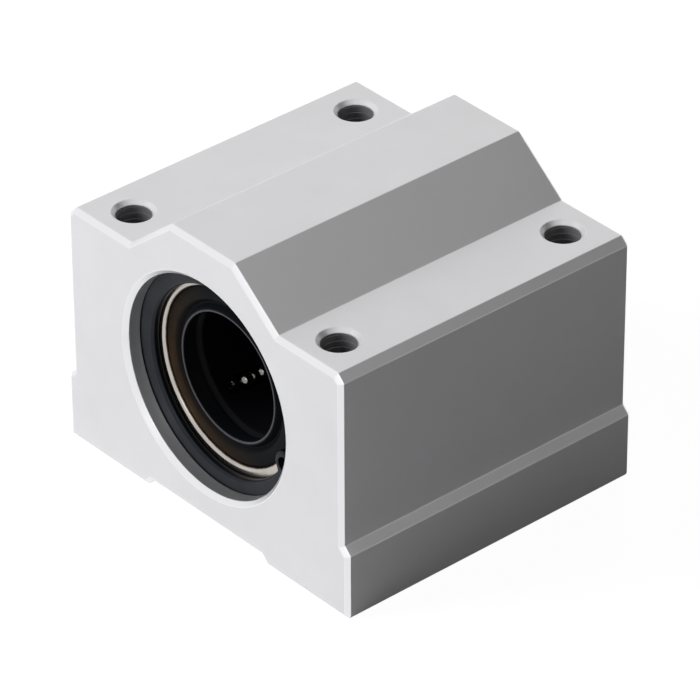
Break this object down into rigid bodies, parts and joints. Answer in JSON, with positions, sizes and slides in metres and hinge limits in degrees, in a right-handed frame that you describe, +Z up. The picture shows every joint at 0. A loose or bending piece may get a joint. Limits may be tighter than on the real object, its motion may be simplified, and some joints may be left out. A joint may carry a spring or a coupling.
{
  "type": "linear bearing block",
  "caption": "Machined aluminium pillow block with a flat foot, a humped top and four screw holes, holding a sealed linear ball bearing on two spring rings.",
  "frame": {"origin": "centre of the base, under the middle of the bore", "axes": "+X across the bore, +Y along the bore to the rear, +Z up from the base to the hump"},
  "size_m": [0.05, 0.044, 0.0385],
  "materials": {
    "anodised_aluminium": "clear anodised, fine machined satin",
    "black_spring_steel": "phosphated and oiled spring steel",
    "bearing_steel": "ground hardened steel",
    "cage_resin": "moulded black resin",
    "seal_rubber": "oiled black nitrile rubber",
    "ball_steel": "polished bearing balls"
  },
  "bodies": {
    "root": {"housing_block": "anodised_aluminium", "front_retaining_ring": "black_spring_steel", "rear_retaining_ring": "black_spring_steel", "bearing_sleeve": "bearing_steel", "ball_cage": "cage_resin", "front_seal": "seal_rubber", "rear_seal": "seal_rubber", "loaded_balls_1": "ball_steel", "loaded_balls_2": "ball_steel", "loaded_balls_3": "ball_steel", "loaded_balls_4": "ball_steel", "loaded_balls_5": "ball_steel", "return_balls_1": "ball_steel", "return_balls_2": "ball_steel", "return_balls_3": "ball_steel", "return_balls_4": "ball_steel", "return_balls_5": "ball_steel"}
  },
  "joints": []
}
